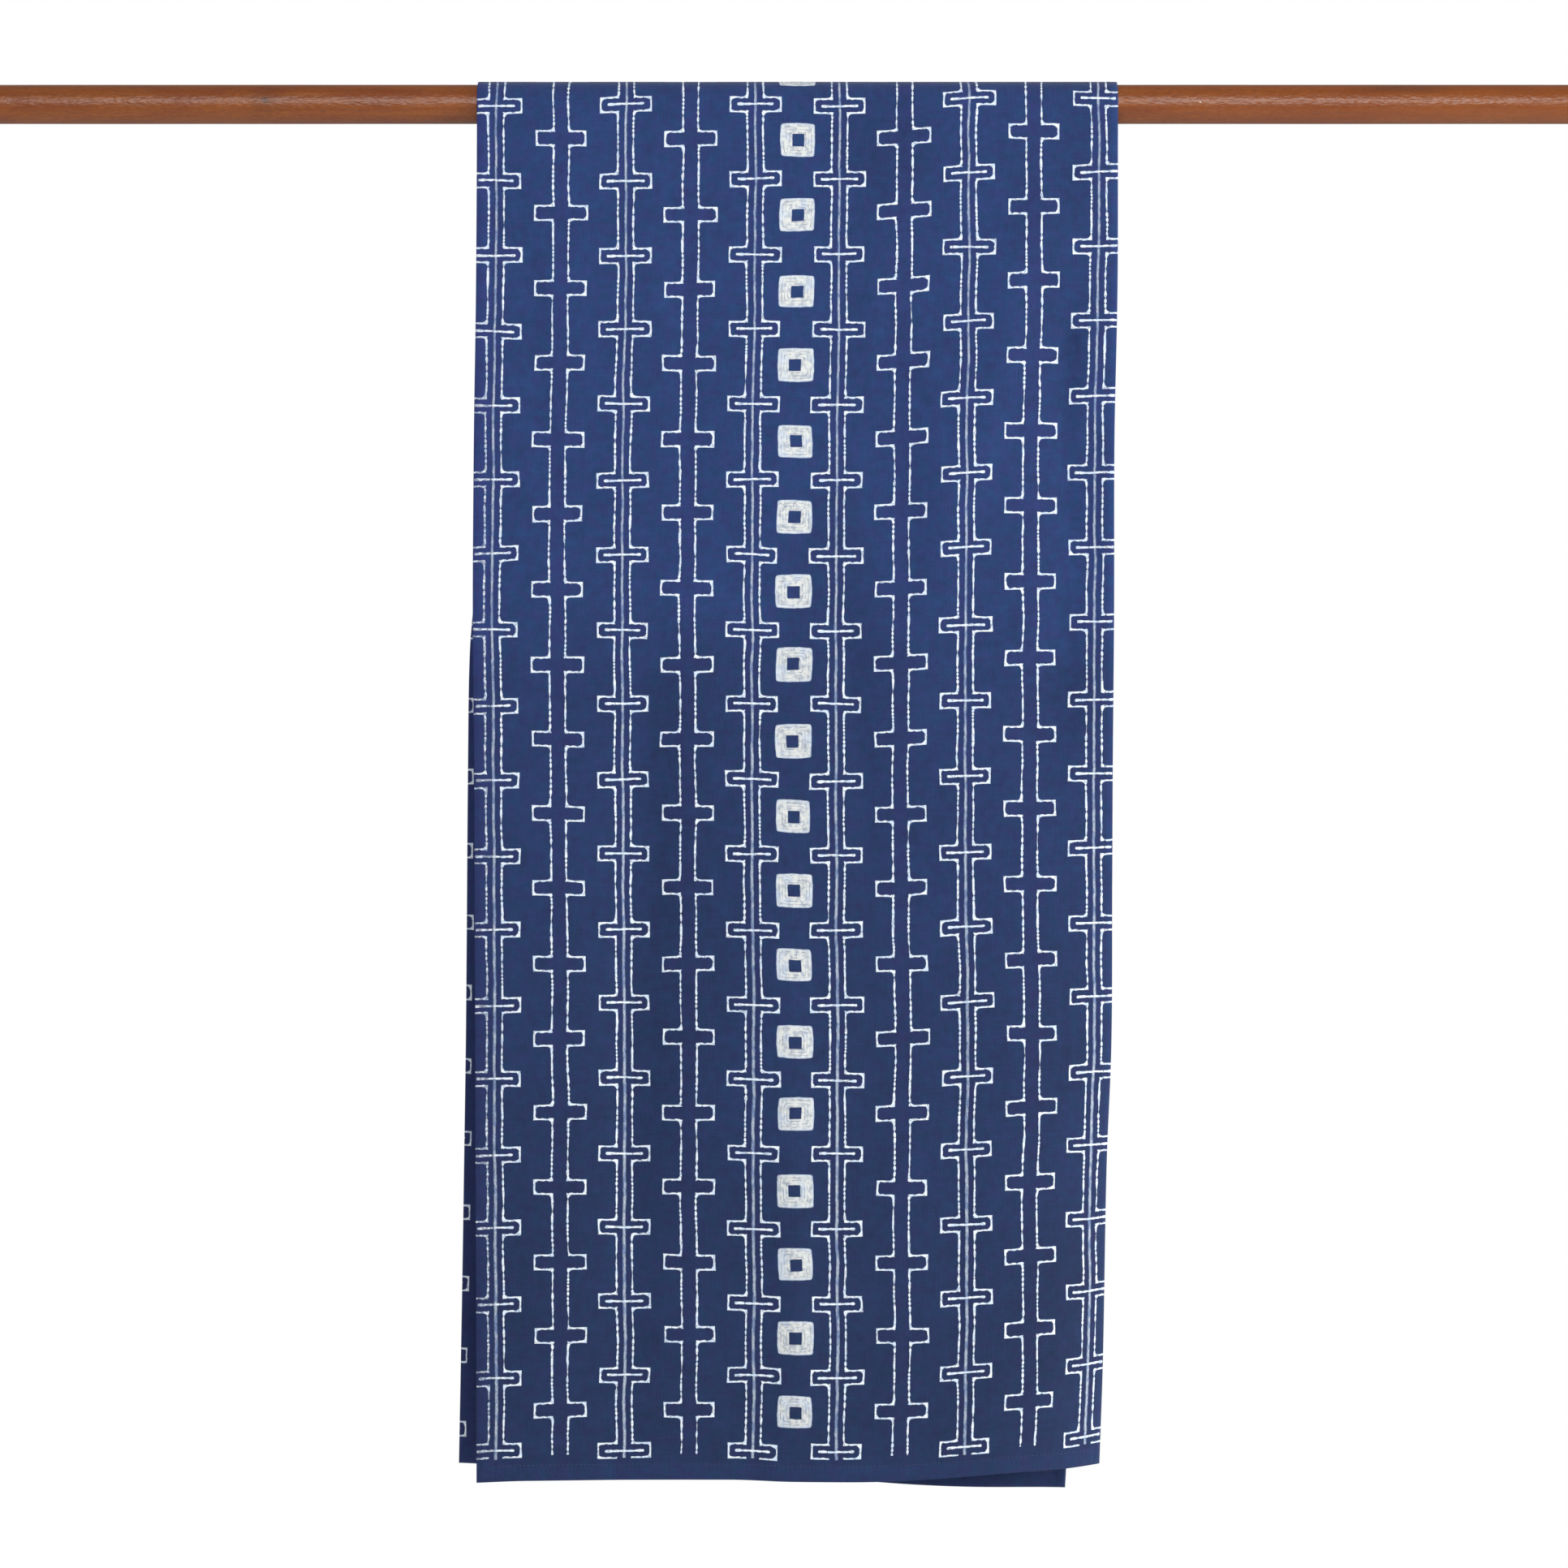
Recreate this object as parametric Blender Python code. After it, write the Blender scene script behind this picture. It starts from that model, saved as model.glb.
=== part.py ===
"""A batik table runner that hangs over a round wooden rod, the front and the back panel about equally long.

The origin is the middle of the rod's axis. +X runs along the rod to the viewer's right, the front panel
hangs on the -Y side, and +Z is up. All sizes are in metres.
"""
from math import cos, pi, sin, sqrt

import bmesh
import bpy
from mathutils import Matrix, Vector

# The rod
ROD_RADIUS = 0.0140
ROD_LENGTH = 1.20
ROD_SIDES = 48
ROD_CHAMFER = 0.0012

# The runner's cloth and its turned hems
CLOTH_WIDTH = 0.457
CLOTH_THICKNESS = 0.0012
HEM_THICKNESS = 0.0018
END_HEM = 0.013
LEFT_HEM = 0.014
RIGHT_HEM = 0.0075
HEM_STEP = 0.0012
REST_GAP = 0.0003

# The outer face of the cloth turns round the rod on this radius, so that its hems lie just off the wood.
BEND_RADIUS = ROD_RADIUS + REST_GAP + HEM_THICKNESS

# How far each panel hangs below the rod's axis at its longest
FRONT_DROP = 0.9876
BACK_DROP = 0.9991

# How finely the sheet is divided
COLUMNS = 20
PANEL_ROWS = 27
BEND_ROWS = 12

# Side edges of the panels: drop below the axis, left edge, right edge
FRONT_EDGES = (
    (0.000, -0.2195, 0.2388),
    (0.130, -0.2199, 0.2382),
    (0.245, -0.2213, 0.2358),
    (0.375, -0.2219, 0.2354),
    (0.480, -0.2208, 0.2348),
    (0.565, -0.2205, 0.2349),
    (0.680, -0.2202, 0.2351),
    (0.770, -0.2200, 0.2322),
    (0.910, -0.2197, 0.2303),
    (0.988, -0.2198, 0.2278),
)
BACK_EDGES = (
    (0.000, -0.2195, 0.2388),
    (0.245, -0.2208, 0.2350),
    (0.350, -0.2238, 0.2320),
    (0.400, -0.2276, 0.2300),
    (0.480, -0.2291, 0.2280),
    (0.680, -0.2310, 0.2200),
    (0.770, -0.2324, 0.2165),
    (0.880, -0.2341, 0.2110),
    (0.999, -0.2362, 0.2042),
)

# How far the lower edges are drawn up: share of the width from the left, lift
FRONT_LIFT = (
    (0.00, 0.0000),
    (0.08, 0.0014),
    (0.40, 0.0022),
    (0.50, 0.0008),
    (0.65, 0.0008),
    (0.85, 0.0064),
    (0.93, 0.0075),
    (1.00, 0.0092),
)
BACK_LIFT = (
    (0.00, 0.0178),
    (0.35, 0.0125),
    (0.70, 0.0050),
    (0.80, 0.0032),
    (0.90, 0.0013),
    (1.00, 0.0000),
)

# Soft troughs (below zero) and ridges of the front panel: where each lies across the width at its upper
# and lower end, the drops of these ends, its half width and its height
FRONT_FOLDS = (
    (0.30, 0.26, 0.40, 0.90, 0.075, -0.0045),
    (0.47, 0.50, 0.55, 0.98, 0.090, 0.0030),
    (0.88, 0.68, 0.06, 0.42, 0.080, 0.0038),
    (0.97, 0.90, 0.22, 0.46, 0.060, -0.0030),
    (0.12, 0.10, 0.45, 0.98, 0.090, 0.0028),
)

# The front panel bellies forward most at its middle, where it was folded in store, and its right side
# turns back more and more towards the lower corner.
FRONT_BELLY = 0.0095
CURL_START = 0.66
CURL_DEPTH = 0.031
CURL_FROM_DROP = 0.30
CURL_TO_DROP = 0.93

# The back panel's ripples deepen downwards: waves across the width, start and drift of the wave, height
BACK_RIPPLES = (
    (1.9, 0.9, 0.9, 0.0056),
    (3.1, 2.6, -1.2, 0.0022),
)
BACK_BELLY = 0.0040
BACK_LEAN = 0.0060

CLOTH_COLOUR = (0.031, 0.050, 0.138)
WOOD_COLOUR = (0.290, 0.105, 0.040)


def smooth(value):
    """Rise from 0 to 1 with level ends."""
    t = min(max(value, 0.0), 1.0)
    return t * t * (3 - 2 * t)


def read(table, at, column):
    """Read a column of a table at a place, with a smooth curve through the rows."""
    last = len(table) - 1
    i = 0
    while i < last - 1 and table[i + 1][0] < at:
        i += 1
    before, low, high, after = (table[min(max(i + k, 0), last)] for k in (-1, 0, 1, 2))
    span = high[0] - low[0]
    t = min(max((at - low[0]) / span, 0.0), 1.0)
    slope_low = span * (high[column] - before[column]) / max(high[0] - before[0], span)
    slope_high = span * (after[column] - low[column]) / max(after[0] - low[0], span)
    return (
        (2 * t**3 - 3 * t**2 + 1) * low[column]
        + (t**3 - 2 * t**2 + t) * slope_low
        + (3 * t**2 - 2 * t**3) * high[column]
        + (t**3 - t**2) * slope_high
    )


def front_depth(across, drop):
    """How far the front panel stands forward of the rod's front."""
    depth = FRONT_BELLY * sin(pi * min(drop / FRONT_DROP, 1.0))
    for upper, lower, top, bottom, half_width, height in FRONT_FOLDS:
        t = (drop - top) / (bottom - top)
        middle = upper + (lower - upper) * min(max(t, 0.0), 1.0)
        along = smooth((t + 0.25) / 0.5) * smooth((1.25 - t) / 0.5)
        side = (across - middle) / half_width
        depth += height * along / (1 + side**2) ** 2
    turned = max(across - CURL_START, 0.0) / (1 - CURL_START)
    depth -= CURL_DEPTH * turned**3 * smooth((drop - CURL_FROM_DROP) / (CURL_TO_DROP - CURL_FROM_DROP))
    return depth * smooth(drop / 0.12)


def back_depth(across, drop):
    """How far the back panel stands behind the rod's back."""
    grown = smooth(drop / BACK_DROP)
    depth = BACK_BELLY * sin(pi * min(drop / BACK_DROP, 1.0)) + BACK_LEAN * grown
    for waves, start, drift, height in BACK_RIPPLES:
        depth += height * grown * (1 + sin(2 * pi * waves * across + start + drift * drop))
    return depth


def spread(shares, depths, left, right):
    """Give each column its x: closer together where the cloth turns away, and from edge to edge."""
    places = [0.0]
    for i in range(1, len(shares)):
        along = CLOTH_WIDTH * (shares[i] - shares[i - 1])
        away = depths[i] - depths[i - 1]
        places.append(places[-1] + sqrt(max(along**2 - away**2, 0.0)))
    return [left + (right - left) * place / places[-1] for place in places]


def panel_row(shares, drop, edges, lifts, longest, depth_at, side):
    """Points of one row of a panel that hangs on the side -1 (front) or 1 (back) of the rod."""
    depths = [depth_at(share, drop) for share in shares]
    left = read(edges, drop, 1)
    right = read(edges, drop, 2)
    row = []
    for x, share, depth in zip(spread(shares, depths, left, right), shares, depths):
        height = -drop * (1 - read(lifts, share, 1) / longest)
        row.append(Vector((x, side * (BEND_RADIUS + depth), height)))
    return row


def bend_row(shares, angle):
    """Points of one row over the rod, at an angle from its front."""
    left = FRONT_EDGES[0][1]
    right = FRONT_EDGES[0][2]
    y = -BEND_RADIUS * cos(angle)
    z = BEND_RADIUS * sin(angle)
    return [Vector((left + (right - left) * share, y, z)) for share in shares]


def hemmed(count, length, first_hem, last_hem):
    """Even steps along a length, with a close pair of steps at each hem's inner edge."""
    start = first_hem + HEM_STEP
    end = length - last_hem - HEM_STEP
    inner = [start + (end - start) * i / count for i in range(count + 1)]
    return [0.0, first_hem, *inner, length - last_hem, length]


def drops_of(longest):
    """Drops of a panel's rows from its hem up to just below the rod's axis."""
    start = longest - END_HEM - HEM_STEP
    inner = [start * (1 - i / PANEL_ROWS) for i in range(PANEL_ROWS)]
    return [longest, longest - END_HEM, *inner]


def sheet_rows(shares):
    """Rows of the cloth's outer face, from the front hem over the rod to the back hem."""
    front = [
        panel_row(shares, drop, FRONT_EDGES, FRONT_LIFT, FRONT_DROP, front_depth, -1)
        for drop in drops_of(FRONT_DROP)
    ]
    back = [
        panel_row(shares, drop, BACK_EDGES, BACK_LIFT, BACK_DROP, back_depth, 1)
        for drop in drops_of(BACK_DROP)
    ]
    over = [bend_row(shares, pi * i / BEND_ROWS) for i in range(BEND_ROWS + 1)]
    return front + over + back[::-1]


def material(name, colour, roughness):
    """A plain material with one colour and roughness."""
    made = bpy.data.materials.new(name)
    made.use_nodes = True
    shader = made.node_tree.nodes["Principled BSDF"]
    shader.inputs["Base Color"].default_value = (*colour, 1.0)
    shader.inputs["Roughness"].default_value = roughness
    shader.inputs["Metallic"].default_value = 0.0
    return made


def add_object(name, bm, finish):
    """Turn a bmesh into a named object of the scene with one material."""
    mesh = bpy.data.meshes.new(name)
    bm.to_mesh(mesh)
    bm.free()
    mesh.materials.append(finish)
    made = bpy.data.objects.new(name, mesh)
    bpy.context.scene.collection.objects.link(made)
    return made


def build_runner():
    """The dyed cotton sheet, thicker along its four turned hems, as one closed solid."""
    shares = [
        place / CLOTH_WIDTH
        for place in hemmed(COLUMNS, CLOTH_WIDTH, LEFT_HEM, RIGHT_HEM)
    ]
    rows = sheet_rows(shares)
    last_column = len(shares) - 1
    last_row = len(rows) - 1
    bm = bmesh.new()
    bmesh.ops.create_grid(bm, x_segments=last_column, y_segments=last_row, size=1.0)
    hem = set()
    for vertex in bm.verts:
        column = round((vertex.co.x + 1) / 2 * last_column)
        row = round((vertex.co.y + 1) / 2 * last_row)
        if column in (0, 1, last_column - 1, last_column) or row in (0, 1, last_row - 1, last_row):
            hem.add(vertex.index)
        vertex.co = rows[row][column]
    runner = add_object("runner", bm, material("dyed_cotton", CLOTH_COLOUR, 0.85))
    group = runner.vertex_groups.new(name="hem")
    group.add(sorted(hem), 1.0, "REPLACE")
    wall = runner.modifiers.new("thickness", "SOLIDIFY")
    wall.thickness = HEM_THICKNESS
    wall.offset = -1.0
    wall.use_even_offset = True
    wall.vertex_group = group.name
    wall.thickness_vertex_group = CLOTH_THICKNESS / HEM_THICKNESS
    return runner


def build_rod():
    """The round varnished rod, sawn square, with its two end rims chamfered."""
    bm = bmesh.new()
    bmesh.ops.create_cone(
        bm,
        cap_ends=True,
        segments=ROD_SIDES,
        radius1=ROD_RADIUS,
        radius2=ROD_RADIUS,
        depth=ROD_LENGTH,
        matrix=Matrix.Rotation(pi / 2, 4, "Y"),
    )
    caps = [face for face in bm.faces if len(face.verts) == ROD_SIDES]
    rims = [edge for face in caps for edge in face.edges]
    bmesh.ops.bevel(
        bm,
        geom=rims,
        affect="EDGES",
        offset=ROD_CHAMFER,
        segments=1,
        profile=0.5,
        material=-1,
    )
    rod = add_object("rod", bm, material("varnished_wood", WOOD_COLOUR, 0.35))
    rod.data.shade_smooth()
    rod.data.set_sharp_from_angle(angle=pi / 6)
    return rod


def main():
    for old in list(bpy.data.objects):
        bpy.data.objects.remove(old)
    build_rod()
    build_runner()


main()
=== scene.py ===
"""A table runner of resist-dyed navy cotton that hangs over a varnished wooden rod.

All sizes are in metres in the frame's own axes, apart from the drawn pattern, which is worked out in
millimetres over the flat cloth. The cloth's form repeats the one of the solid that it stands for.
"""

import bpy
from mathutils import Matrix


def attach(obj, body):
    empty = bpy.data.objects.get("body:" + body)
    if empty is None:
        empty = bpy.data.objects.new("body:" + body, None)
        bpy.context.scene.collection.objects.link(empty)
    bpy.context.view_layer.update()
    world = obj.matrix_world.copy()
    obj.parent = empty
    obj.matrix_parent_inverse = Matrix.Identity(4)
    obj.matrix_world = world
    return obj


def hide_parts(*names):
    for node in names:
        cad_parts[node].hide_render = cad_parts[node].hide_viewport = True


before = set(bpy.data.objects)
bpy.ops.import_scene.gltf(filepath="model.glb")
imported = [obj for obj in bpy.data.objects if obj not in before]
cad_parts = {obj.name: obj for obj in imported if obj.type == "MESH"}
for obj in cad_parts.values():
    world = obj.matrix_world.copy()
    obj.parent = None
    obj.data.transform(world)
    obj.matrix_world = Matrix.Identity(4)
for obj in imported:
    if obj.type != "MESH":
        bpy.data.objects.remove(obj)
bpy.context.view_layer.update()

from math import cos, floor, hypot, pi, sin, sqrt

import bmesh
import bpy
from mathutils import Matrix, Vector, noise

# The rod, as in the solid
ROD_RADIUS = 0.0140
ROD_LENGTH = 1.20
ROD_CHAMFER = 0.0012
ROD_SIDES = 96
ROD_CUTS = 60
ROD_SHRINK = 0.004
ROD_UNEVEN = 0.006

# Marks on the rod: a knot, a nick and a smudge
KNOT_X = -0.3712
KNOT_Z = 0.0009
NICK_X = 0.298
NICK_Z = -0.0003
SMUDGE_X = 0.444

# The cloth and its turned hems
CLOTH_WIDTH = 0.457
CLOTH_THICKNESS = 0.0005
HEM_THICKNESS = 0.0015
FOLD_THICKNESS = 0.0008
FOLD_REACH = 0.0006
END_HEM = 0.013
LEFT_HEM = 0.014
RIGHT_HEM = 0.0075
HEM_STEP = 0.0010
BEND_RADIUS = 0.0161
FRONT_DROP = 0.9876
BACK_DROP = 0.9991
PANEL_START = 0.12
CLOTH_LENGTH = FRONT_DROP + pi * BEND_RADIUS + BACK_DROP

# How finely the sheet is divided
COLUMNS = 84
PANEL_ROWS = 188
BEND_ROWS = 16

# Side edges of the panels: drop below the rod's axis, left edge, right edge
FRONT_EDGES = (
    (0.000, -0.2195, 0.2388),
    (0.130, -0.2199, 0.2382),
    (0.245, -0.2213, 0.2358),
    (0.375, -0.2219, 0.2354),
    (0.480, -0.2208, 0.2348),
    (0.565, -0.2205, 0.2349),
    (0.680, -0.2202, 0.2351),
    (0.770, -0.2200, 0.2322),
    (0.910, -0.2197, 0.2303),
    (0.988, -0.2198, 0.2278),
)
BACK_EDGES = (
    (0.000, -0.2195, 0.2388),
    (0.245, -0.2208, 0.2350),
    (0.350, -0.2238, 0.2320),
    (0.400, -0.2276, 0.2300),
    (0.480, -0.2291, 0.2280),
    (0.680, -0.2310, 0.2200),
    (0.770, -0.2324, 0.2165),
    (0.880, -0.2341, 0.2110),
    (0.999, -0.2362, 0.2042),
)

# How far the lower edges are drawn up: share of the width from the left, lift
FRONT_LIFT = (
    (0.00, 0.0000),
    (0.08, 0.0014),
    (0.40, 0.0022),
    (0.50, 0.0008),
    (0.65, 0.0008),
    (0.85, 0.0064),
    (0.93, 0.0075),
    (1.00, 0.0092),
)
BACK_LIFT = (
    (0.00, 0.0178),
    (0.35, 0.0125),
    (0.70, 0.0050),
    (0.80, 0.0032),
    (0.90, 0.0013),
    (1.00, 0.0000),
)

# Soft troughs (below zero) and ridges of the front panel: share of the width at the upper and lower end,
# the drops of these ends, half width, height
FRONT_FOLDS = (
    (0.27, 0.238, 0.40, 0.90, 0.070, -0.0045),
    (0.47, 0.50, 0.55, 0.98, 0.090, 0.0030),
    (0.88, 0.68, 0.06, 0.42, 0.080, 0.0038),
    (0.97, 0.90, 0.22, 0.46, 0.060, -0.0030),
    (0.12, 0.10, 0.45, 0.98, 0.090, 0.0010),
)
FRONT_BELLY = 0.0095
CURL_START = 0.66
CURL_DEPTH = 0.031
CURL_FROM_DROP = 0.30
CURL_TO_DROP = 0.93

# The back panel's ripples: waves across the width, start and drift of the wave, height
BACK_RIPPLES = (
    (1.9, 0.9, 0.9, 0.0056),
    (3.1, 2.6, -1.2, 0.0022),
)
BACK_BELLY = 0.0040
BACK_LEAN = 0.0060

# Creases from storing and handling, on the face of each panel: share of the width and drop of both ends,
# how far each reaches to its left (or lower) and its right (or upper) side, height. A crease ends at
# CREASE_CUT times its reach.
FRONT_CREASES = (
    (-0.05, 0.4080, 0.52, 0.4120, 0.0100, 0.0050, 0.00090),
    (0.02, 0.7280, 0.30, 0.7290, 0.0060, 0.0040, -0.00075),
    (0.76, 0.7440, 1.02, 0.7440, 0.0040, 0.0060, 0.00075),
    (0.241, 0.4700, 0.236, 0.8100, 0.0120, 0.0055, -0.00130),
    (0.56, 0.3000, 0.63, 0.6000, 0.0160, 0.0160, -0.00150),
    (0.70, 0.1300, 0.72, 0.3300, 0.0240, 0.0300, 0.00180),
    (0.925, 0.1200, 0.925, 0.3300, 0.0200, 0.0080, -0.00220),
    (0.99, 0.4300, 0.84, 0.4700, 0.0110, 0.0060, -0.00150),
    (0.50, 0.5600, 0.505, 0.9900, 0.0140, 0.0090, 0.00090),
    (0.645, 0.6600, 0.655, 0.9900, 0.0060, 0.0100, 0.00060),
    (0.755, 0.5600, 0.748, 0.9900, 0.0120, 0.0080, -0.00090),
    (0.08, 0.0700, 0.125, 0.3000, 0.0180, 0.0080, -0.00120),
    (0.30, 0.0600, 0.34, 0.3400, 0.0110, 0.0180, -0.00100),
    (0.66, 0.0300, 0.60, 0.2200, 0.0150, 0.0100, 0.00100),
    (0.03, 0.5200, 0.03, 0.9900, 0.0060, 0.0120, 0.00040),
)
BACK_CREASES = (
    (-0.05, 0.4800, 1.05, 0.4790, 0.0060, 0.0040, -0.00070),
    (0.25, 0.3000, 0.26, 0.8500, 0.0120, 0.0070, 0.00120),
    (0.50, 0.2000, 0.49, 0.9900, 0.0080, 0.0120, -0.00090),
    (0.76, 0.3500, 0.75, 0.9000, 0.0120, 0.0080, 0.00110),
    (0.15, 0.6500, 0.40, 0.7300, 0.0180, 0.0120, 0.00120),
)
CREASE_CUT = 6
RUMPLE = 0.0008
FINE_RUMPLE = 0.22
SHARP_ANGLE = 1.2

# The stitches along the hems
STITCH_INSET = 0.0016
STITCH_PITCH = 0.0031
STITCH_LENGTH = 0.0023
STITCH_RADIUS = 0.00028
STITCH_RISE = 0.00004
THREAD_TWIST = 14000

# The drawn pattern, in millimetres: ten upright columns, with a column of squares in the middle
PATTERN_CENTRE = 228.6
COLUMN_FIRST = 29.9
COLUMN_STEP = 46.2
FIRST_BAR = 21.9
BAR_PITCH = 53.5
BACK_SHIFT = 9.6
PLAIN_SHIFT = 0.545
SQUARE_SHIFT = 0.525
STEM_OFFSET = 5.5
BEAD_LENGTH = 5.8
BAR_REACH = 18.6
BAR_HEIGHT = 5.6
BAR_LINE = 0.77
BAR_STRAY = 1.7
BAR_STRETCH = 1.3
BAR_FILLET = 4.8
STROKE_REACH = 12.4
OUTLINE_END = 14.5
MIDDLE_END = 16.0
SQUARES_END = 30.0
SQUARE_WIDE = 12.2
SQUARE_HIGH = 11.4
SQUARE_BULGE = 0.55
HOLE_REACH = 4.4
BRUSH_STEP = 2.1

# Broad lighter and darker places painted into the dye colour, in millimetres: middle, reach each way,
# amount. They are painted light and painted shade where the folds and the curl at the right turn the cloth
# to or from the light
PAINTED_LIGHT_AND_SHADE_PATCHES = (
    (425, 880, 60, 260, -0.10),
    (375, 620, 80, 110, -0.12),
    (60, 380, 60, 300, 0.07),
    (155, 400, 60, 260, -0.08),
    (290, 900, 70, 90, -0.05),
    (75, 860, 40, 130, 0.05),
    (80, 330, 45, 330, -0.08),
    (420, 190, 50, 320, -0.09),
    (375, 120, 80, 180, -0.07),
    (285, 960, 60, 60, -0.10),
)

# Lines of painted highlight and painted shade along two creases of the front panel, and the pitch of the
# yarns, in millimetres
CREASE_LIGHT_LINE = 243.5
CREASE_SHADE_LINE = 259.5
YARN_PITCH = 0.62

# The camera: its frame shows this much of the plane of the front panel's top
FRAME_WIDTH = 1.1206
FRAME_CENTRE_Z = -0.4881
CAMERA_DISTANCE = 3.2
SENSOR_WIDTH = 36.0

# The floor, the fill from all round, and the lights: name, place, aim, width and height, watts
FLOOR_Z = -1.36
FLOOR_MIDDLE_Y = -0.1
FLOOR_REACH = (2.0, 1.6)
WORLD_FILL = 0.34
LIGHTS = (
    ("front_right", (0.75, -3.3, 0.80), (0.0, 0.0, -0.20), (0.8, 1.2), 36.0),
    ("front_left", (-0.65, -3.3, 0.80), (0.0, 0.0, -0.20), (0.7, 1.2), 26.0),
    ("side", (3.2, -1.0, -0.1), (0.0, 0.0, -0.45), (1.0, 1.8), 90.0),
    ("back", (-2.4, 2.8, 1.2), (0.0, 0.0, -0.45), (2.0, 2.0), 60.0),
)


def srgb(red, green, blue):
    """A linear colour from the numbers 0 to 255 of a screen colour."""
    shares = (part / 255 for part in (red, green, blue))
    linear = [s / 12.92 if s <= 0.04045 else ((s + 0.055) / 1.055) ** 2.4 for s in shares]
    return (*linear, 1.0)


# The dye and the lines that the resist left. The LOWER colours are darker towards the hem: partly the
# dye's own tone, partly painted shade for the light that falls off down the cloth
BLUE_UPPER = srgb(33, 62, 110)
BLUE_LOWER = srgb(27, 49, 86)
VIOLET_UPPER = srgb(43, 55, 110)
VIOLET_LOWER = srgb(35, 44, 86)
PALE_BLUE = srgb(140, 163, 204)
PALE_WHITE = srgb(205, 218, 234)
LINE_WHITE = srgb(237, 246, 255)
LINE_COOL = srgb(212, 229, 250)
SQUARE_WHITE = srgb(229, 232, 230)
SQUARE_SHADE = srgb(186, 194, 203)
SQUARE_RIM = srgb(204, 220, 242)
SQUARE_LINE = srgb(86, 96, 124)
WRONG_SIDE_TONE = srgb(96, 112, 150)

# The wood, the mark of a nick in it, the sewing thread and the floor
WOOD_DARK = srgb(98, 41, 5)
WOOD_LIGHT = srgb(162, 89, 24)
WOOD_RED = srgb(116, 50, 10)
WOOD_ORANGE = srgb(137, 69, 4)
WOOD_PORE = srgb(70, 36, 22)
WOOD_NICK = srgb(225, 205, 180)
THREAD_DARK = srgb(30, 40, 78)
THREAD_LIGHT = srgb(44, 56, 100)
FLOOR_COLOUR = (0.80, 0.80, 0.80, 1.0)


def smooth(value):
    """Rise from 0 to 1 with level ends."""
    t = min(max(value, 0.0), 1.0)
    return t * t * (3 - 2 * t)


def read(table, at, column):
    """Read a column of a table at a place, with a smooth curve through the rows."""
    last = len(table) - 1
    i = 0
    while i < last - 1 and table[i + 1][0] < at:
        i += 1
    before, low, high, after = (table[min(max(i + k, 0), last)] for k in (-1, 0, 1, 2))
    span = high[0] - low[0]
    t = min(max((at - low[0]) / span, 0.0), 1.0)
    slope_low = span * (high[column] - before[column]) / max(high[0] - before[0], span)
    slope_high = span * (after[column] - low[column]) / max(after[0] - low[0], span)
    return (
        (2 * t**3 - 3 * t**2 + 1) * low[column]
        + (t**3 - 2 * t**2 + t) * slope_low
        + (3 * t**2 - 2 * t**3) * high[column]
        + (t**3 - t**2) * slope_high
    )


def front_depth(across, drop):
    """How far the front panel stands forward of the rod's front, main folds only."""
    depth = FRONT_BELLY * sin(pi * min(drop / FRONT_DROP, 1.0))
    for upper, lower, top, bottom, half_width, height in FRONT_FOLDS:
        t = (drop - top) / (bottom - top)
        middle = upper + (lower - upper) * min(max(t, 0.0), 1.0)
        along = smooth((t + 0.25) / 0.5) * smooth((1.25 - t) / 0.5)
        side = (across - middle) / half_width
        depth += height * along / (1 + side**2) ** 2
    turned = max(across - CURL_START, 0.0) / (1 - CURL_START)
    depth -= CURL_DEPTH * turned**3 * smooth((drop - CURL_FROM_DROP) / (CURL_TO_DROP - CURL_FROM_DROP))
    return depth * smooth(drop / PANEL_START)


def back_depth(across, drop):
    """How far the back panel stands behind the rod's back, main folds only."""
    grown = smooth(drop / BACK_DROP)
    depth = BACK_BELLY * sin(pi * min(drop / BACK_DROP, 1.0)) + BACK_LEAN * grown
    for waves, start, drift, height in BACK_RIPPLES:
        depth += height * grown * (1 + sin(2 * pi * waves * across + start + drift * drop))
    return depth


def crease_depth(creases, across, drop):
    """Height of the small creases at a place on a panel."""
    depth = 0.0
    x = across * CLOTH_WIDTH
    for share_a, drop_a, share_b, drop_b, left_reach, right_reach, height in creases:
        ax = share_a * CLOTH_WIDTH
        run_x = share_b * CLOTH_WIDTH - ax
        run_y = drop_b - drop_a
        t = ((x - ax) * run_x + (drop - drop_a) * run_y) / (run_x**2 + run_y**2)
        near = min(max(t, 0.0), 1.0)
        on_right = (x - ax) * run_y > (drop - drop_a) * run_x
        reach = right_reach if on_right else left_reach
        off = hypot(x - ax - run_x * near, drop - drop_a - run_y * near) / reach
        if off < CREASE_CUT:
            depth += height * smooth(t / 0.25) * smooth((1 - t) / 0.25) / (1 + off**2) ** 2
    return depth


def rumple_depth(across, drop, seed):
    """Height of the faint unevenness that any hung cotton has."""
    place = Vector((across * CLOTH_WIDTH * 11, drop * 7, seed))
    fine = Vector((across * CLOTH_WIDTH * 34, drop * 26, seed + 9))
    return RUMPLE * (noise.noise(place) + FINE_RUMPLE * noise.noise(fine)) * smooth(drop / 0.10)


def front_face(across, drop):
    """Depth of the front panel with its creases."""
    small = crease_depth(FRONT_CREASES, across, drop) + rumple_depth(across, drop, 3.0)
    return front_depth(across, drop) + small


def back_face(across, drop):
    """Depth of the back panel with its creases."""
    small = crease_depth(BACK_CREASES, across, drop) + rumple_depth(across, drop, 31.0)
    return back_depth(across, drop) + small


def spread(shares, depths, left, right):
    """Give each column its x: closer together where the cloth turns away, and from edge to edge."""
    places = [0.0]
    for i in range(1, len(shares)):
        along = CLOTH_WIDTH * (shares[i] - shares[i - 1])
        away = depths[i] - depths[i - 1]
        places.append(places[-1] + sqrt(max(along**2 - away**2, 0.0)))
    return [left + (right - left) * place / places[-1] for place in places]


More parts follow.
